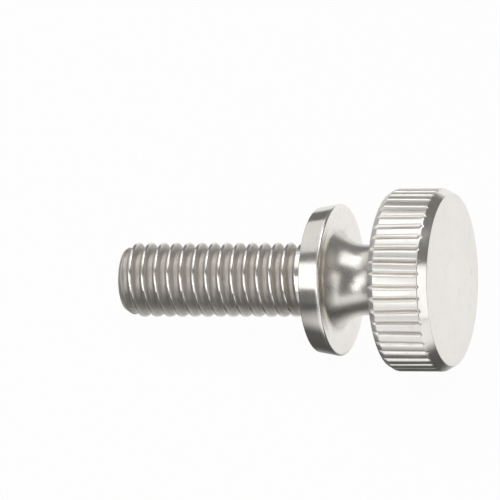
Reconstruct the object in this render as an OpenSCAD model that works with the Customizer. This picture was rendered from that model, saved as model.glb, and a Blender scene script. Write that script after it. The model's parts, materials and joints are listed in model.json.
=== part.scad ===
// Knurled thumb screw, turned from one bar of stainless steel:
// a threaded shank, a flared collar, a waisted neck and a straight-knurled head.
// The screw lies on its side, on the knurl's rear edge and the edge of its tip.

/* [Thread] */
// Major diameter of the threaded shank
thread_d = 7.85; // [6:0.05:10]
// Length of the shank, from the collar's seat to the tip
thread_length = 21.4; // [14:0.1:40]
// What the tip's bevel takes off the radius
tip_bevel_w = 0.65; // [0.3:0.05:1.2]
// Length of the tip's bevel along the axis
tip_bevel_h = 1.1; // [0.5:0.05:2]

/* [Collar] */
// Diameter of the collar's rim
collar_d = 15.3; // [13:0.1:18]
// Height of the collar, from its seat to the top of its lip
collar_height = 2.35; // [1.8:0.05:4]
// How far the flared lip stands out from the rim
lip_overhang = 0.3; // [0.1:0.05:0.6]
// Height over which the lip flares out
lip_height = 1; // [0.5:0.05:1.4]
// Depth of the dished top, below the top of the lip
dish_depth = 0.5; // [0.2:0.05:1]

/* [Neck] */
// Diameter of the neck at its narrowest
neck_d = 7.4; // [5:0.1:9]
// Length of the neck, from the top of the lip to the head
neck_length = 5.7; // [4:0.1:10]
// Radius of the fillet between the dished top and the neck
neck_fillet = 1.3; // [0.6:0.05:1.6]

/* [Head] */
// Diameter of the head over the knurl
head_d = 19.05; // [16:0.05:26]
// Height of the head
head_height = 6.4; // [4:0.1:12]
// What the head's bevels take off the radius
head_bevel_w = 0.39; // [0.34:0.01:0.8]
// Length of the head's bevels along the axis
head_bevel_h = 0.68; // [0.4:0.02:1.2]

/* [Knurl] */
// Number of grooves around the head
knurl_count = 45; // [30:1:60]
// Depth of a groove
knurl_depth = 0.32; // [0.15:0.01:0.33]
// Angle between a groove's two walls
knurl_angle = 90; // [60:5:100]
// Length over which a groove runs out to the surface at its front end
knurl_runout = 0.37; // [0.2:0.01:0.8]
// Plain band between the grooves' front ends and the front bevel
knurl_land = 0.06; // [0.03:0.01:0.3]

/* [Edges] */
// Width of the broken edges of the collar
edge_break = 0.12; // [0.05:0.01:0.2]

/* [Hidden] */
// Shares of the space between the dished top and the head
waist_height_share = 0.54;
waist_radius_share = 0.67;
// Chords in each arc of the outline
arc_steps = 12;
// How far a cut runs past what it cuts
overrun = 0.5;

thread_r = thread_d / 2;
collar_r = collar_d / 2;
lip_r = collar_r + lip_overhang;
neck_r = neck_d / 2;
head_r = head_d / 2;

// Heights along the axis, counted from the collar's seat, the head being up
tip_z = -thread_length;
dish_z = collar_height - dish_depth;
head_z = collar_height + neck_length;
face_z = head_z + head_height;
knurl_end_z = face_z - head_bevel_h - knurl_land;

// The neck is one wide arc, which a fillet joins to the dished top
waist_gap = head_z - dish_z;
waist_z = dish_z + waist_height_share * waist_gap;
waist_radius = waist_radius_share * waist_gap;
waist_centre = [neck_r + waist_radius, waist_z];
fillet_rise = waist_z - dish_z - neck_fillet;
fillet_reach = sqrt(pow(waist_radius - neck_fillet, 2) - pow(fillet_rise, 2));
fillet_centre = [waist_centre[0] - fillet_reach, dish_z + neck_fillet];
fillet_turn = atan2(fillet_rise, fillet_reach);

// The lip's flare is an arc that leaves the rim along the axis
flare_h = lip_height - edge_break;
flare_radius = (pow(flare_h, 2) + pow(lip_overhang, 2)) / (2 * lip_overhang);
flare_turn = 2 * atan2(lip_overhang, flare_h);
flare_centre = [collar_r + flare_radius, collar_height - lip_height];

// At rest two crests beside one groove touch the ground, and so does the lowest edge ahead of them
knurl_root_r = head_r - knurl_depth;
groove_turn = atan2(knurl_depth * tan(knurl_angle / 2), head_r);
rest_r = head_r * cos(groove_turn);
rest_z = head_z + head_bevel_h;
low_edges = [
    [thread_r, tip_z + tip_bevel_h],
    [collar_r, edge_break],
    [lip_r, collar_height - edge_break]
];
rest_tilt = atan(min([for (e = low_edges) (rest_r - e[0]) / (rest_z - e[1])]));
rest_lift = rest_r * cos(rest_tilt) - rest_z * sin(rest_tilt);
tip_x = tip_z * cos(rest_tilt) - (thread_r - tip_bevel_w) * sin(rest_tilt);
face_x = face_z * cos(rest_tilt) + (head_r - head_bevel_w) * sin(rest_tilt);

// Points of an arc about a centre, from one angle to another
function arc(centre, radius, from, to) = [
    for (i = [0:arc_steps])
        let (a = from + (to - from) * i / arc_steps)
        centre + radius * [cos(a), sin(a)]
];

// Half of the screw's section, from the tip up to the head's face
function outline() = concat(
    [
        [0, tip_z],
        [thread_r - tip_bevel_w, tip_z],
        [thread_r, tip_z + tip_bevel_h],
        [thread_r, 0],
        [collar_r - edge_break, 0],
        [collar_r, edge_break]
    ],
    arc(flare_centre, flare_radius, 180, 180 - flare_turn),
    [[lip_r - edge_break, collar_height]],
    arc(fillet_centre, neck_fillet, 270, 180 + fillet_turn),
    arc(waist_centre, waist_radius, 180 + fillet_turn, 180 - asin((head_z - waist_z) / waist_radius)),
    [
        [head_r - head_bevel_w, head_z],
        [head_r, head_z + head_bevel_h],
        [head_r, face_z - head_bevel_h],
        [head_r - head_bevel_w, face_z],
        [0, face_z]
    ]
);

// Radius outwards, and height at which a groove's floor has risen to that radius
function runout_point(r) = [r, knurl_end_z - knurl_runout * (head_r - r) / knurl_depth];

// The ring of metal that the knurling wheel reaches, with a sloped end at the front
module knurl_reach() {
    inner_r = knurl_root_r - overrun;
    outer_r = head_r + overrun;
    rotate_extrude()
        polygon([
            [inner_r, head_z - overrun],
            [outer_r, head_z - overrun],
            runout_point(outer_r),
            runout_point(inner_r)
        ]);
}

// One V-shaped groove along the head, opening outwards at angle zero
module groove() {
    mouth_r = head_r + overrun;
    mouth_half_w = (mouth_r - knurl_root_r) * tan(knurl_angle / 2);
    translate([0, 0, head_z - overrun])
        linear_extrude(head_height + overrun)
            polygon([
                [knurl_root_r, 0],
                [mouth_r, mouth_half_w],
                [mouth_r, -mouth_half_w]
            ]);
}

module knurl() {
    intersection() {
        knurl_reach();
        union() {
            for (i = [0:knurl_count - 1])
                rotate(i * 360 / knurl_count)
                    groove();
        }
    }
}

// Lays the upright screw down, tip towards -X, with the middle of its footprint at the origin
module lay_down() {
    translate([-(tip_x + face_x) / 2, 0, rest_lift])
        rotate([0, 90 - rest_tilt, 0])
            children();
}

module thumb_screw() {
    color("silver")
        lay_down()
            difference() {
                rotate_extrude()
                    polygon(outline());
                knurl();
            }
}

thumb_screw();
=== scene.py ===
import json
import math

import bpy
import numpy as np
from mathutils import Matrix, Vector


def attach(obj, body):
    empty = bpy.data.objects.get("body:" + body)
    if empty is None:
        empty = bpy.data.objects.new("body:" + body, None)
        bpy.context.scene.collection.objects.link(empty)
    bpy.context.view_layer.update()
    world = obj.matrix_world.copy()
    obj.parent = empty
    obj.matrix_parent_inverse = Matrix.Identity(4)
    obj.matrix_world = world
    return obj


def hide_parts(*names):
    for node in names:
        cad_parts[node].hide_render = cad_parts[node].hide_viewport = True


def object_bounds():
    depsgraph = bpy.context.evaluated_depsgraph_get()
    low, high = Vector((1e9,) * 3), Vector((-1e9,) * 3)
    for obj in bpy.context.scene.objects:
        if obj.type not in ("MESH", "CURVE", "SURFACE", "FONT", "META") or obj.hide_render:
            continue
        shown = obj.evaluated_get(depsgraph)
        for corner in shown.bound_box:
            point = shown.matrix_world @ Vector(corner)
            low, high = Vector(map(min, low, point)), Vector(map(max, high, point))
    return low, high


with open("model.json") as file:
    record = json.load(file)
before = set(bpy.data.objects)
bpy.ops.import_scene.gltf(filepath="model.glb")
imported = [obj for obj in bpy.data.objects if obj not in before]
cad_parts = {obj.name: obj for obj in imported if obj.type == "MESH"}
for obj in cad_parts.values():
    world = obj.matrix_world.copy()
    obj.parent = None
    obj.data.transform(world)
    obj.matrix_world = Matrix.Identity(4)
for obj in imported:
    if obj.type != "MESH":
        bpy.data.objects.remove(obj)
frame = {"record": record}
cad_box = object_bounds()

# The bar: the screw is turned from one bar of stainless steel, so all its surfaces share one axis.
# The mounts give that axis: the middle of the seat under the collar, and the way to the tip.
mounts = {mount["name"]: mount for mount in frame["record"]["mounts"]}
seat_centre = np.array(mounts["collar_seat"]["pos_m"])
towards_tip = np.array(mounts["collar_seat"]["axis"])
towards_head = -towards_tip / np.linalg.norm(towards_tip)
across = np.array([0.0, 1.0, 0.0])
downwards = np.cross(across, towards_head)
full_turn = 2 * math.pi


def placed(radius, angle, height):
    """Points of the screw in the frame: the seat's centre, plus height along the axis towards the head,
    plus radius times the direction that angle gives, counted from straight down towards +Y."""
    radius, angle, height = np.broadcast_arrays(radius, angle, height)
    outwards = np.cos(angle)[..., None] * downwards + np.sin(angle)[..., None] * across
    return seat_centre + height[..., None] * towards_head + radius[..., None] * outwards


# The threaded shank: a right-hand thread of 60 degrees with 18 turns to the inch, rolled on the bar.
# It starts in the tip's bevel and runs out in its last half turn below the collar. The rolling leaves the
# crests smooth, bright and a little uneven, and the flanks rougher, with fine lines along the turns. The
# flanks' colour is painted darker with the depth into the groove, as painted shade.
millimetre = 0.001
thread_radius = mounts["threaded_shank"]["dims"]["r_mm"] * millimetre
thread_length = 0.021398
thread_pitch = 0.001411
thread_depth = 0.00056
thread_angle = math.radians(60)
crest_width = 0.00026
crest_rounding = 0.00003
root_rounding = 0.00006
crest_unevenness = 0.000006
slow_waves, slow_shift = 7, 2.3
quick_waves, quick_shift = 17, 4.1
first_crest = 0.24
runout_angle = math.radians(40)
runout_crests = 2
runout_turns = 0.5
tip_bevel_width = 0.00065
tip_bevel_height = 0.0011
corner_width = 0.00004
tip_finish, crest_finish, flank_finish = 0.3, 0.17, 0.5
# The flank's tone paints the thread's groove darker than its crest, as painted shade.
tip_tone, crest_tone, flank_shade_tone = 0.6, 1.0, 0.48
bright_depth_share = 0.5

# Rows of the grid go from a crest over its flank to the root, as shares of the pitch, and up the next
# flank in the same way
columns = 144
spare_turns = 2
flank_rows = np.array([0, 0.045, 0.07, 0.11, 0.19, 0.27, 0.32, 0.36, 0.42])
turn_rows = np.concatenate([flank_rows, [0.5], 1 - flank_rows[:0:-1]])

flank_slope = math.tan(thread_angle / 2)
runout_start = runout_angle / full_turn - runout_crests
tip_height = -thread_length


def groove_depth(turns, angle):
    """Depth of the thread's groove below its crests, where turns counts crests along the axis at that
    angle. It grows from the crest's edge as the distance over the flank's slope, up to the root, with
    both corners rounded, less the lift by which the last half turn climbs out of the bar."""
    from_crest = np.abs((turns + 0.5) % 1 - 0.5) * thread_pitch
    flank = (from_crest - crest_width / 2) / flank_slope
    depth = thread_depth - root_rounding * np.logaddexp(0, (thread_depth - flank) / root_rounding)
    past_runout = (np.floor(turns) + angle / full_turn - runout_start) / runout_turns
    climbed = (1 - np.cos(math.pi * np.clip(past_runout, 0, 1))) / 2
    lift = (thread_depth + crest_width / 2) * climbed
    return crest_rounding * np.logaddexp(0, (depth - lift) / crest_rounding)


def thread_surface(height, turns, angle):
    """Radius of the shank: the major radius less the groove's depth and less two slight waves along the
    turns, which stay below it, cut off by the cone of the tip's bevel."""
    turn = np.round(turns)
    slow = 1 + np.sin(slow_waves * angle + slow_shift * turn)
    quick = 1 + np.sin(quick_waves * angle + quick_shift * turn)
    thread = thread_radius - groove_depth(turns, angle) - crest_unevenness * (slow + quick)
    bevel = thread_radius - tip_bevel_width * (1 - (height - tip_height) / tip_bevel_height)
    return np.minimum(thread, bevel)


angles = np.arange(columns) * full_turn / columns
lowest_turn = -math.ceil(thread_length / thread_pitch) - spare_turns
spiral_turns = (np.arange(lowest_turn, spare_turns)[:, None] + turn_rows[None, :]).reshape(-1, 1)
spiral_turns, spiral_angles = np.broadcast_arrays(spiral_turns, angles[None, :])
spiral_height = (spiral_turns + spiral_angles / full_turn + first_crest) * thread_pitch
below = spiral_height <= tip_height
above = spiral_height >= 0
inside = ~(below | above)

tip_turns = tip_height / thread_pitch - first_crest - angles / full_turn
tip_radius = thread_surface(tip_height, tip_turns, angles)
spiral_radius = thread_surface(spiral_height, spiral_turns, spiral_angles)
points = [
    placed(0.0, 0.0, tip_height)[None, :],
    placed(tip_radius - corner_width, angles, tip_height),
    placed(tip_radius, angles, tip_height),
    placed(thread_radius, angles, 0.0),
    placed(spiral_radius, spiral_angles, spiral_height)[inside],
]
point_count = sum(len(group) for group in points)

# Each point's finish is its roughness, its tone goes from dark to bright steel and is painted darker into the
# thread's groove as painted shade, and its lay counts across the fine lines that the tool left
end_points = 1 + 3 * columns
# Share of the depth below the crest: the roughness rises with it, and the colour is painted darker with it as
# painted shade.
dullness_and_shade = np.clip((thread_radius - spiral_radius) / (bright_depth_share * thread_depth), 0, 1)[inside]
finishes = [np.full(end_points, tip_finish), crest_finish + (flank_finish - crest_finish) * dullness_and_shade]
tones = [np.full(end_points, tip_tone), crest_tone + (flank_shade_tone - crest_tone) * dullness_and_shade]
lays = [np.zeros(1), tip_radius, tip_radius, np.full(columns, thread_radius),
        (spiral_turns * thread_pitch)[inside]]

# Rows that run past the tip or the seat end on the ring there, which closes the grid on both rings
tip_face_numbers = 1 + np.arange(columns)
tip_numbers = tip_face_numbers + columns
seat_numbers = tip_numbers + columns
spiral_numbers = np.zeros(spiral_height.shape, int)
spiral_numbers[inside] = end_points + np.arange(inside.sum())
spiral_numbers = np.where(below, tip_numbers, np.where(above, seat_numbers, spiral_numbers))


def between(left, right):
    """Faces between columns of vertex numbers and the columns beside them, with rows in order towards the
    head and the right columns at the larger angles, so that the faces point outwards."""
    return np.stack([left[:-1], right[:-1], right[1:], left[1:]], axis=-1).reshape(-1, 4)


# One turn further up, the grid's last column meets its first
rows_per_turn = len(turn_rows)
tip_face_onwards = np.roll(tip_face_numbers, -1)
thread_quads = np.concatenate([
    between(spiral_numbers[:, :-1], spiral_numbers[:, 1:]),
    between(spiral_numbers[:-rows_per_turn, -1], spiral_numbers[rows_per_turn:, 0]),
    np.stack([tip_face_numbers, tip_face_onwards, np.roll(tip_numbers, -1), tip_numbers], axis=1),
])
thread_triangles = np.concatenate([thread_quads[:, [0, 1, 2]], thread_quads[:, [0, 2, 3]]])
whole = (thread_triangles != np.roll(thread_triangles, 1, axis=1)).all(axis=1)
tip_fan = np.stack([np.zeros(columns, int), tip_face_onwards, tip_face_numbers], axis=1)
triangles = [tip_fan, thread_triangles[whole]]

# The collar and the neck: the collar's rim flares out to a thin lip, its top is dished, and a fillet
# leads to the waisted neck, one wide arc that runs into the back of the head. They are turned with
# the shank, and the rim is polished smoother than the dish and the neck behind it.
collar_radius = 0.0076
collar_height = 0.00235
lip_overhang = 0.00035
lip_rounding = 0.0002
dish_depth = 0.0005
edge_break = 0.00012
neck_radius = 0.0037
neck_length = 0.0057
neck_fillet = 0.0009
waist_height_share = 0.54
waist_radius_share = 0.67
back_middle = 0.007
seat_finish, rim_finish, lip_finish, dish_finish, neck_finish, back_finish = 0.25, 0.12, 0.2, 0.25, 0.28, 0.24
# The dish's tone is set high to brighten it, as painted light.
seat_tone, rim_tone, lip_tone, dish_light_tone, neck_tone, back_tone = 0.6, 0.72, 1.0, 1.0, 0.78, 0.75
seat_steps, edge_steps, rim_steps, lip_steps = 6, 6, 8, 10
dish_steps, fillet_steps, neck_steps, back_steps = 6, 20, 26, 4

lip_radius = collar_radius + lip_overhang
dish_height = collar_height - dish_depth
back_height = collar_height + neck_length
waist_gap = back_height - dish_height
waist_height = dish_height + waist_height_share * waist_gap
waist_arc = waist_radius_share * waist_gap
fillet_rise = waist_height - dish_height - neck_fillet
fillet_reach = math.sqrt((waist_arc - neck_fillet) ** 2 - fillet_rise ** 2)
fillet_turn = math.atan2(fillet_rise, fillet_reach)
waist_centre = (neck_radius + waist_arc, waist_height)
fillet_centre = (waist_centre[0] - fillet_reach, dish_height + neck_fillet)
waist_end = math.asin((back_height - waist_height) / waist_arc)
neck_end = waist_centre[0] - waist_arc * math.cos(waist_end)
rim_turn = math.atan2(lip_overhang, collar_height - 2 * edge_break)
lip_centre = (lip_radius - lip_rounding, collar_height - lip_rounding)
lip_start = (lip_centre[0] + lip_rounding * math.cos(rim_turn),
             lip_centre[1] - lip_rounding * math.sin(rim_turn))

# The dished top is the line from the lip that just touches the fillet
dish_across = (lip_centre[0] - fillet_centre[0], collar_height - fillet_centre[1])
dish_slant = math.atan2(dish_across[1], dish_across[0])
dish_end = dish_slant - math.acos(neck_fillet / math.hypot(*dish_across))


def straight(start, end, steps):
    """Radius and height of points along a straight stretch of the outline, without its last point."""
    share = np.arange(steps)[:, None] / steps
    return np.array(start) * (1 - share) + np.array(end) * share


def arc(centre, radius, start, end, steps):
    """Radius and height of points along an arc of the outline, from one angle to another, in radians."""
    turn = np.linspace(start, end, steps)
    return np.stack([centre[0] + radius * np.cos(turn), centre[1] + radius * np.sin(turn)], axis=1)


def along(outline):
    """Distance along an outline from its first point to each point, as the sum of the steps between."""
    return np.concatenate([[0], np.cumsum(np.linalg.norm(np.diff(outline, axis=0), axis=1))])


def ring_quads(rings):
    """Faces between neighbouring rings of a grid of vertex numbers, rings in rows, closed around the axis.
    With rings in order from the tip to the head and angles growing, the faces point outwards."""
    return between(rings, np.roll(rings, -1, axis=1))


fillet = arc(fillet_centre, neck_fillet, dish_end, fillet_turn - math.pi, fillet_steps)
fillet_finishes = np.linspace(dish_finish, neck_finish, fillet_steps)
fillet_tones = np.linspace(dish_light_tone, neck_tone, fillet_steps)
neck_stretches = [
    (straight((thread_radius + corner_width, 0.0), (collar_radius - edge_break, 0.0), seat_steps),
     seat_finish, seat_tone),
    (arc((collar_radius - edge_break, edge_break), edge_break, -math.pi / 2, 0, edge_steps),
     rim_finish, rim_tone),
    (straight((collar_radius, edge_break), lip_start, rim_steps)[1:], rim_finish, rim_tone),
    (arc(lip_centre, lip_rounding, -rim_turn, math.pi / 2, lip_steps), lip_finish, lip_tone),
    (straight((lip_centre[0], collar_height), fillet[0], dish_steps)[1:], dish_finish, dish_light_tone),
    (fillet, fillet_finishes, fillet_tones),
    (arc(waist_centre, waist_arc, math.pi + fillet_turn, math.pi - waist_end, neck_steps)[1:],
     neck_finish, neck_tone),
    (straight((neck_end + corner_width, back_height), (back_middle, back_height), back_steps),
     back_finish, back_tone),
]
neck_outline = np.concatenate([stretch for stretch, _, _ in neck_stretches])
neck_rings = point_count + np.arange(len(neck_outline) * columns).reshape(-1, columns)
points.append(placed(neck_outline[:, :1], angles[None, :], neck_outline[:, 1:]).reshape(-1, 3))
point_count += neck_rings.size
for stretch, finish, tone in neck_stretches:
    finishes.append(np.repeat(np.broadcast_to(finish, len(stretch)), columns))
    tones.append(np.repeat(np.broadcast_to(tone, len(stretch)), columns))
lays.append(np.repeat(along(neck_outline), columns))
quads = [ring_quads(np.concatenate([seat_numbers[None, :], neck_rings]))]

# The head: a round head with straight knurling rolled into its rim between two bevels, and a flat face.
# The grooves run through the rear bevel and just past the front bevel's edge, and lie a little unevenly, as
# the wheel left them. The crests keep the bright steel, the grooves are painted darker towards their roots as
# painted shade, the face is painted bright as painted light, and it has a satin finish.
head_radius = (cad_box[1][1] - cad_box[0][1]) / 2
head_height = 0.0064
back_bevel_width = 0.00039
back_bevel_height = 0.00068
front_bevel_width = 0.00054
front_bevel_height = 0.00094
head_edge = 0.00006
knurl_count = 45
knurl_depth = 0.0003
knurl_wall_slope = 1.4
knurl_runout = 0.0003
knurl_over = 0.00006
ridge_rounding = 0.00008
knurl_root_rounding = 0.000015
sway_share, sway_waves, sway_slant, sway_ripples = 0.03, 7, 600, 19
swing_share, swing_waves, swing_beats, swing_shift = 0.12, 11, 4, 1
bevel_finish, knurl_finish, face_finish = 0.14, 0.35, 0.32
# The knurl's root tone paints its grooves dark as painted shade, and the face's tone is set high as painted
# light.
bevel_tone, ridge_tone, knurl_root_shade_tone, face_light_tone = 0.9, 1.0, 0.1, 0.96
root_narrowness = 3
knurl_fan = 5
back_edge_steps, front_edge_steps, face_rings = 4, 5, 4
back_spacing, front_spacing = 6 * head_edge, 2 * head_edge

knurl_columns = knurl_fan * columns
knurl_pitch = full_turn * head_radius / knurl_count
face_height = back_height + head_height
front_edge = face_height - front_bevel_height
knurl_end = front_edge + knurl_over
knurl_middle = front_edge - 2 * knurl_runout
face_radius = head_radius - front_bevel_width
face_inner = face_radius - front_bevel_width
back_radius = head_radius - back_bevel_width


def knurl_cut(radius, height, angle):
    """Depth that the knurl's grooves take off a blank of that radius. A groove is a V, so its depth falls
    by the wall's slope times the distance along the rim from its root, with its edges and its root rounded,
    and its floor rises to the surface over the runout at its front end. Slow waves sway and deepen it."""
    sway = sway_share * (np.sin(sway_waves * angle + sway_slant * height) + np.sin(sway_ripples * angle))
    swing = 1 + swing_share * np.sin(swing_waves * angle) * np.sin(swing_beats * angle + swing_shift)
    across_groove = ((angle * knurl_count / full_turn + sway + 0.5) % 1 - 0.5) * knurl_pitch
    from_root = knurl_wall_slope * (np.hypot(across_groove, knurl_root_rounding) - knurl_root_rounding)
    floor_depth = knurl_depth * swing * np.clip((knurl_end - height) / knurl_runout, -1, 1)
    depth = floor_depth - from_root - (head_radius - radius)
    return ridge_rounding * np.logaddexp(0, depth / ridge_rounding)


def eased(corners, reach, steps):
    """Outline with rounded corners: near each corner it follows the parabola that leaves one side, and
    meets the other, at that reach from the corner."""
    corners = np.array(corners)
    back, ahead = corners[:-2] - corners[1:-1], corners[2:] - corners[1:-1]
    back = back * reach / np.linalg.norm(back, axis=1, keepdims=True)
    ahead = ahead * reach / np.linalg.norm(ahead, axis=1, keepdims=True)
    share = np.linspace(0, 1, steps)[None, :, None]
    curves = corners[1:-1, None] + back[:, None] * (1 - share) ** 2 + ahead[:, None] * share ** 2
    return np.concatenate([corners[:1], curves.reshape(-1, 2), corners[-1:]])


def filled(outline, spacing):
    """The outline with points added along it, one for each spacing."""
    reached = along(outline)
    stops = np.union1d(reached, np.arange(spacing, reached[-1], spacing))
    return np.stack([np.interp(stops, reached, outline[:, side]) for side in (0, 1)], axis=1)


back_corners = [(back_middle, back_height), (back_radius, back_height),
                (head_radius, back_height + back_bevel_height), (head_radius, knurl_middle)]
front_corners = [(head_radius, knurl_middle), (head_radius, front_edge),
                 (face_radius, face_height), (face_inner, face_height)]
head_outline = np.concatenate([
    filled(eased(back_corners, head_edge, back_edge_steps), back_spacing)[:-1],
    filled(eased(front_corners, head_edge, front_edge_steps), front_spacing)[:-1],
    straight((face_inner, face_height), (0.0, face_height), face_rings),
])
head_angles = np.arange(knurl_columns) * full_turn / knurl_columns
head_angle, head_blank = np.meshgrid(head_angles, head_outline[:, 0])
head_rise = np.broadcast_to(head_outline[:, 1:], head_angle.shape)
on_rim = (head_rise > back_height) & (head_rise < face_height)
head_cut = np.where(on_rim, knurl_cut(head_blank, head_rise, head_angle), 0)
head_rings = point_count + np.arange(head_angle.size).reshape(head_angle.shape)
face_pole = point_count + head_rings.size
points += [placed(head_blank - head_cut, head_angle, head_rise).reshape(-1, 3),
           placed(0.0, 0.0, face_height)[None, :]]
quads.append(ring_quads(head_rings))
triangles.append(np.stack(
    [head_rings[-1], np.roll(head_rings[-1], -1), np.full(knurl_columns, face_pole)], axis=1))

# Five columns of the knurl meet each column of the neck in a fan of triangles
neck_last = neck_rings[-1]
neck_onwards = np.roll(neck_last, -1)
head_first = np.concatenate([head_rings[0], head_rings[0, :1]])
fan_middle = knurl_fan // 2
for k in range(knurl_fan):
    corner = neck_last if k <= fan_middle else neck_onwards
    triangles.append(np.stack([corner, head_first[k + 1::knurl_fan], head_first[k:-1:knurl_fan]], axis=1))
triangles.append(np.stack([neck_last, neck_onwards, head_first[fan_middle + 1::knurl_fan]], axis=1))

groove_shade = np.clip(head_cut / knurl_depth, 0, 1)
on_face = head_rise > face_height - head_edge / 2
on_front = (head_rise > front_edge) & ~on_face
on_back = head_rise < back_height + head_edge / 2
# The knurl's colour is painted darker towards the grooves' roots, as painted shade.
knurl_tone = ridge_tone + (knurl_root_shade_tone - ridge_tone) * groove_shade ** root_narrowness
head_sides = [on_face, on_front, on_back]
head_finish = np.select(head_sides, [face_finish, bevel_finish, back_finish], knurl_finish)
head_tone = np.select(head_sides, [face_light_tone, bevel_tone, back_tone], knurl_tone)
head_lay = along(head_outline)
finishes += [head_finish.reshape(-1), [face_finish]]
tones += [head_tone.reshape(-1), [face_light_tone]]
lays += [np.repeat(head_lay, knurl_columns), head_lay[-1:]]

# The steel: the three surfaces above are one skin, as the screw is one piece of stainless steel.
# Its colour goes by each point's tone from a dark brownish steel to bright steel. The darker tone in the
# thread's and knurl's grooves is painted shade, and the high tone of the dish and the face is painted light.
# It has smudges, specks, a fine grain, and faint lines that follow the turning.
dark_steel = (0.3, 0.255, 0.215, 1)
bright_steel = (0.93, 0.905, 0.86, 1)
smudge_scale, smudge_detail = 240, 4
speck_scale, speck_detail = 1100, 3
grain_scale, grain_detail = 5200, 2
line_scale, line_detail = 7500, 3
noise_span = (0.3, 0.7)
speck_span = (0.62, 0.8)
smudge_tone, speck_tone, line_tone = (-0.06, 0.06), (0.0, -0.14), (-0.03, 0.03)
smudge_finish, speck_finish = (-0.03, 0.05), (-0.02, 0.05)
grain_relief = (-0.1, 0.1)
line_height = 0.000002
line_strength = 0.5

screw_mesh = bpy.data.meshes.new("thumb_screw_turned")
all_points = np.concatenate(points).astype(np.float32)
all_triangles, all_quads = np.concatenate(triangles), np.concatenate(quads)
corner_counts = np.concatenate([np.full(len(all_triangles), 3), np.full(len(all_quads), 4)])
corner_numbers = np.concatenate([all_triangles.reshape(-1), all_quads.reshape(-1)])
face_starts = np.cumsum(corner_counts) - corner_counts
screw_mesh.vertices.add(len(all_points))
screw_mesh.vertices.foreach_set("co", all_points.reshape(-1))
screw_mesh.loops.add(len(corner_numbers))
screw_mesh.loops.foreach_set("vertex_index", corner_numbers.astype(np.int32))
screw_mesh.polygons.add(len(corner_counts))
screw_mesh.polygons.foreach_set("loop_start", face_starts.astype(np.int32))
screw_mesh.polygons.foreach_set("use_smooth", np.ones(len(corner_counts), bool))
screw_mesh.update(calc_edges=True)
for name, values in (("finish", finishes), ("tone", tones), ("lay", lays)):
    layer = screw_mesh.attributes.new(name, "FLOAT", "POINT")
    layer.data.foreach_set("value", np.concatenate(values).astype(np.float32))
screw_mesh.validate()
screw = bpy.data.objects.new("thumb_screw_turned", screw_mesh)
bpy.context.scene.collection.objects.link(screw)


def skin_value(tree, name):
    """Output that reads one of the values kept on the screw's points."""
    reader = tree.nodes.new("ShaderNodeAttribute")
    reader.attribute_name = name
    return reader.outputs["Fac"]


def mottled(tree, place, scale, detail):
    """Output of a noise over the three directions of the place, with finer spots for a larger scale."""
    spots = tree.nodes.new("ShaderNodeTexNoise")
    spots.inputs["Scale"].default_value = scale
    spots.inputs["Detail"].default_value = detail
    tree.links.new(place, spots.inputs["Vector"])
    return spots.outputs["Fac"]


def lined(tree, lay, scale, detail):
    """Output of a noise over the lay alone, which makes lines along the turning."""
    lines = tree.nodes.new("ShaderNodeTexNoise")
    lines.noise_dimensions = "1D"
    lines.inputs["Scale"].default_value = scale
    lines.inputs["Detail"].default_value = detail
    tree.links.new(lay, lines.inputs["W"])
    return lines.outputs["Fac"]


def ranged(tree, value, span, ends, easing="LINEAR"):
    """Output that goes from the first of the ends to the second while the value goes over the span."""
    stretch = tree.nodes.new("ShaderNodeMapRange")
    stretch.interpolation_type = easing
    stretch.inputs["From Min"].default_value, stretch.inputs["From Max"].default_value = span
    stretch.inputs["To Min"].default_value, stretch.inputs["To Max"].default_value = ends
    tree.links.new(value, stretch.inputs["Value"])
    return stretch.outputs[0]


def reckoned(tree, operation, first, second):
    """Output of the operation on two outputs."""
    reckoning = tree.nodes.new("ShaderNodeMath")
    reckoning.operation = operation
    tree.links.new(first, reckoning.inputs[0])
    tree.links.new(second, reckoning.inputs[1])
    return reckoning.outputs[0]


def varied(tree, value, noise, ends, span=noise_span):
    """The value plus the noise, whose span is stretched between the ends, kept between 0 and 1."""
    total = reckoned(tree, "ADD", value, ranged(tree, noise, span, ends))
    total.node.use_clamp = True
    return total


def blended(tree, share, first_colour, second_colour):
    """Output that goes from the first colour to the second as the share goes from 0 to 1."""
    mix = tree.nodes.new("ShaderNodeMix")
    mix.data_type = "RGBA"
    first, second = [socket for socket in mix.inputs if socket.type == "RGBA"]
    first.default_value = first_colour
    second.default_value = second_colour
    tree.links.new(share, mix.inputs["Factor"])
    return [socket for socket in mix.outputs if socket.type == "RGBA"][0]


steel = bpy.data.materials.new("polished_steel")
steel.use_nodes = True
tree = steel.node_tree
shader = tree.nodes["Principled BSDF"]
shader.inputs["Metallic"].default_value = 1.0
place = tree.nodes.new("ShaderNodeTexCoord").outputs["Object"]
smudges = mottled(tree, place, smudge_scale, smudge_detail)
specks = mottled(tree, place, speck_scale, speck_detail)
grain = mottled(tree, place, grain_scale, grain_detail)
turned_lines = lined(tree, skin_value(tree, "lay"), line_scale, line_detail)

# The tone here carries the painted shade and light kept on the points, with smudges, specks and turning
# lines.
tone_here = varied(tree, skin_value(tree, "tone"), smudges, smudge_tone)
tone_here = varied(tree, tone_here, specks, speck_tone, speck_span)
tone_here = varied(tree, tone_here, turned_lines, line_tone)
tree.links.new(blended(tree, tone_here, dark_steel, bright_steel), shader.inputs["Base Color"])
finish_here = varied(tree, skin_value(tree, "finish"), smudges, smudge_finish)
finish_here = varied(tree, finish_here, specks, speck_finish)
tree.links.new(finish_here, shader.inputs["Roughness"])

relief = tree.nodes.new("ShaderNodeBump")
relief.inputs["Strength"].default_value = line_strength
relief.inputs["Distance"].default_value = line_height
grained_lines = varied(tree, turned_lines, grain, grain_relief)
tree.links.new(reckoned(tree, "MULTIPLY", grained_lines, finish_here), relief.inputs["Height"])
tree.links.new(relief.outputs["Normal"], shader.inputs["Normal"])
screw_mesh.materials.append(steel)
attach(screw, "root")
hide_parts("thumb_screw")

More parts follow.
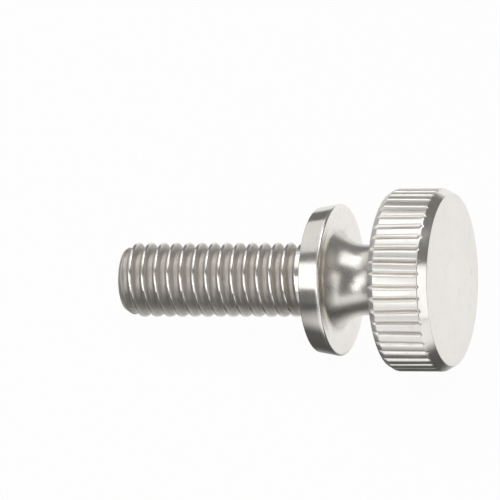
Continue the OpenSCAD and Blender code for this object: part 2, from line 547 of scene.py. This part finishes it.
# The floor: a plain pale card that the screw lies on, white to the camera. Light and shade are painted on it
# for the metal: its colour is painted dark grey as painted shade near the screw and in front of it, and
# behind the screw and well ahead of it on the right it is pale and glows to the metal as a painted pool of
# light. Its front edge lies just past the picture's lower edge, so the metal sees the dim room beyond it.
floor_front = -0.05
floor_back = 0.6
floor_side = 0.4
floor_white_to_camera = 0.97
floor_painted_glow_to_metal = 0.86
# The grey card colour is painted shade, and the pale one is painted light.
painted_shade_card = (0.21, 0.21, 0.21, 1)
painted_light_card = (0.9, 0.9, 0.9, 1)
card_grain_scale, card_grain_detail = 900, 3
card_grain_depth = 0.06
whole_span = (0, 1)
# Spans along three directions that mark where the card is painted light: behind the screw, and on the right
# well ahead of it.
painted_light_behind, back_side = (-0.006, 0.001), (0, 1, 0)
painted_light_right, right_side = (-0.004, 0.008), (0.96, -0.28, 0)
painted_light_front, front_side = (0.0105, 0.017), (0, -1, 0)

floor_mesh = bpy.data.meshes.new("floor")
floor_mesh.from_pydata(
    [(-floor_side, floor_front, 0), (floor_side, floor_front, 0),
     (floor_side, floor_back, 0), (-floor_side, floor_back, 0)], [], [(0, 1, 2, 3)])
floor = bpy.data.objects.new("floor", floor_mesh)
bpy.context.scene.collection.objects.link(floor)


def way_along(tree, place, direction):
    """Output with the way from the middle to the place, measured along the direction."""
    measure = tree.nodes.new("ShaderNodeVectorMath")
    measure.operation = "DOT_PRODUCT"
    measure.inputs[1].default_value = direction
    tree.links.new(place, measure.inputs[0])
    return measure.outputs["Value"]


pale = bpy.data.materials.new("pale_card")
pale.use_nodes = True
tree = pale.node_tree
tree.nodes.remove(tree.nodes["Principled BSDF"])
rays = tree.nodes.new("ShaderNodeLightPath").outputs
place = tree.nodes.new("ShaderNodeTexCoord").outputs["Object"]
behind = ranged(tree, way_along(tree, place, back_side), painted_light_behind, whole_span, "SMOOTHSTEP")
right = ranged(tree, way_along(tree, place, right_side), painted_light_right, whole_span, "SMOOTHSTEP")
ahead = ranged(tree, way_along(tree, place, front_side), painted_light_front, whole_span, "SMOOTHSTEP")
# Share of painted light on the card; where it is low, the card is painted shade.
painted_light = reckoned(tree, "MAXIMUM", behind, reckoned(tree, "MULTIPLY", right, ahead))

card = tree.nodes.new("ShaderNodeBsdfDiffuse")
card_grain = mottled(tree, place, card_grain_scale, card_grain_detail)
grained = ranged(tree, card_grain, whole_span, (1 - card_grain_depth, 1))
painted_light_or_seen = reckoned(tree, "MAXIMUM", painted_light, rays["Is Camera Ray"])
card_share = reckoned(tree, "MULTIPLY", painted_light_or_seen, grained)
tree.links.new(blended(tree, card_share, painted_shade_card, painted_light_card), card.inputs["Color"])

glow = tree.nodes.new("ShaderNodeEmission")
mirrored = reckoned(tree, "MAXIMUM", rays["Is Glossy Ray"], rays["Is Transmission Ray"])
# Where the card is painted light, the metal sees it glow as a painted pool of light.
painted_glow_to_metal = ranged(tree, reckoned(tree, "MULTIPLY", mirrored, painted_light), whole_span, (0, floor_painted_glow_to_metal))
to_camera = ranged(tree, rays["Is Camera Ray"], whole_span, (0, floor_white_to_camera))
seen = tree.nodes.new("ShaderNodeMixShader")
tree.links.new(reckoned(tree, "ADD", painted_glow_to_metal, to_camera), seen.inputs[0])
tree.links.new(card.outputs[0], seen.inputs[1])
tree.links.new(glow.outputs[0], seen.inputs[2])
tree.links.new(seen.outputs[0], tree.nodes["Material Output"].inputs["Surface"])
floor_mesh.materials.append(pale)

# The room: a dim studio around the screw, with a white backdrop low behind it on the right.
# To the camera it is all white, so that the picture has no edge where the card ends.
room_level = 0.2
white_level = 1.0
white = (1, 1, 1, 1)
backdrop_side = (0.5, 0.866, 0)
backdrop_edge = (0.6, 0.8)
backdrop_top = (0.25, 0.05)
upwards = (0, 0, 1)

world = bpy.data.worlds.new("studio")
bpy.context.scene.world = world
world.use_nodes = True
tree = world.node_tree
direction = tree.nodes.new("ShaderNodeTexCoord").outputs["Generated"]
behind = ranged(tree, way_along(tree, direction, backdrop_side), backdrop_edge, whole_span)
low = ranged(tree, way_along(tree, direction, upwards), backdrop_top, whole_span)
backdrop = reckoned(tree, "MULTIPLY", behind, low)
to_camera = tree.nodes.new("ShaderNodeLightPath").outputs["Is Camera Ray"]
whiteness = reckoned(tree, "MAXIMUM", to_camera, backdrop)
studio = tree.nodes["Background"]
studio.inputs["Color"].default_value = white
tree.links.new(ranged(tree, whiteness, whole_span, (room_level, white_level)), studio.inputs["Strength"])

# The lamps: soft boxes around the screw, each aimed at it from its own direction, with angles in degrees.
# Their edges make the sharp bands on the polished rim and bevel, and the camera doesn't see them.
lamp_distance = 0.4


def soft_box(name, azimuth, elevation, wide, tall, radiance):
    """A flat lamp at a fixed distance, as wide and tall as the angles say: twice the distance times the
    tangent of half the angle. Its power is pi times its area times its radiance."""
    width = 2 * lamp_distance * math.tan(math.radians(wide) / 2)
    height = 2 * lamp_distance * math.tan(math.radians(tall) / 2)
    lamp = bpy.data.lights.new(name, "AREA")
    lamp.shape = "RECTANGLE"
    lamp.size = width
    lamp.size_y = height
    lamp.energy = math.pi * width * height * radiance
    box = bpy.data.objects.new(name, lamp)
    az, el = math.radians(azimuth), math.radians(elevation)
    towards = Vector((math.sin(az) * math.cos(el), -math.cos(az) * math.cos(el), math.sin(el)))
    box.location = towards * lamp_distance
    box.rotation_euler = towards.to_track_quat("Z", "Y").to_euler()
    box.visible_camera = False
    bpy.context.scene.collection.objects.link(box)


soft_box("top_box", azimuth=-160, elevation=80, wide=44, tall=40, radiance=1.3)
soft_box("left_box", azimuth=-115, elevation=37, wide=50, tall=28, radiance=0.7)
soft_box("left_top_box", azimuth=-95, elevation=63, wide=44, tall=20, radiance=0.9)
soft_box("front_left_box", azimuth=-43, elevation=24, wide=46, tall=30, radiance=1.35)
soft_box("front_box", azimuth=-14, elevation=8, wide=24, tall=24, radiance=1.35)
soft_box("front_right_box", azimuth=47, elevation=19.5, wide=22, tall=57, radiance=1.0)

# The camera: a long lens that looks down on the lying screw from its head's side, so that lines along
# the screw stay nearly parallel. The screw's axis lies a little below the middle of the picture.
camera_azimuth = math.radians(15.675)
camera_elevation = math.radians(35.5)
camera_distance = 0.756
nearest_seen = 0.01
focal_pixels = 7200
image_pixels = 500
sensor_width = 36
axis_below_centre = 29.75
aim_from_seat = -0.00785

camera_data = bpy.data.cameras.new("camera")
camera_data.sensor_width = sensor_width
camera_data.lens = focal_pixels * sensor_width / image_pixels
camera_data.clip_start = nearest_seen
camera = bpy.data.objects.new("camera", camera_data)
bpy.context.scene.collection.objects.link(camera)
towards_camera = Vector((math.sin(camera_azimuth) * math.cos(camera_elevation),
                         -math.cos(camera_azimuth) * math.cos(camera_elevation),
                         math.sin(camera_elevation)))
camera.rotation_euler = towards_camera.to_track_quat("Z", "Y").to_euler()
image_up = camera.rotation_euler.to_matrix() @ Vector((0, 1, 0))
pixel_size = camera_distance / focal_pixels
aim = Vector(seat_centre + aim_from_seat * towards_head) + image_up * axis_below_centre * pixel_size
camera.location = aim + towards_camera * camera_distance
bpy.context.scene.camera = camera
bpy.context.scene.view_settings.view_transform = "Standard"
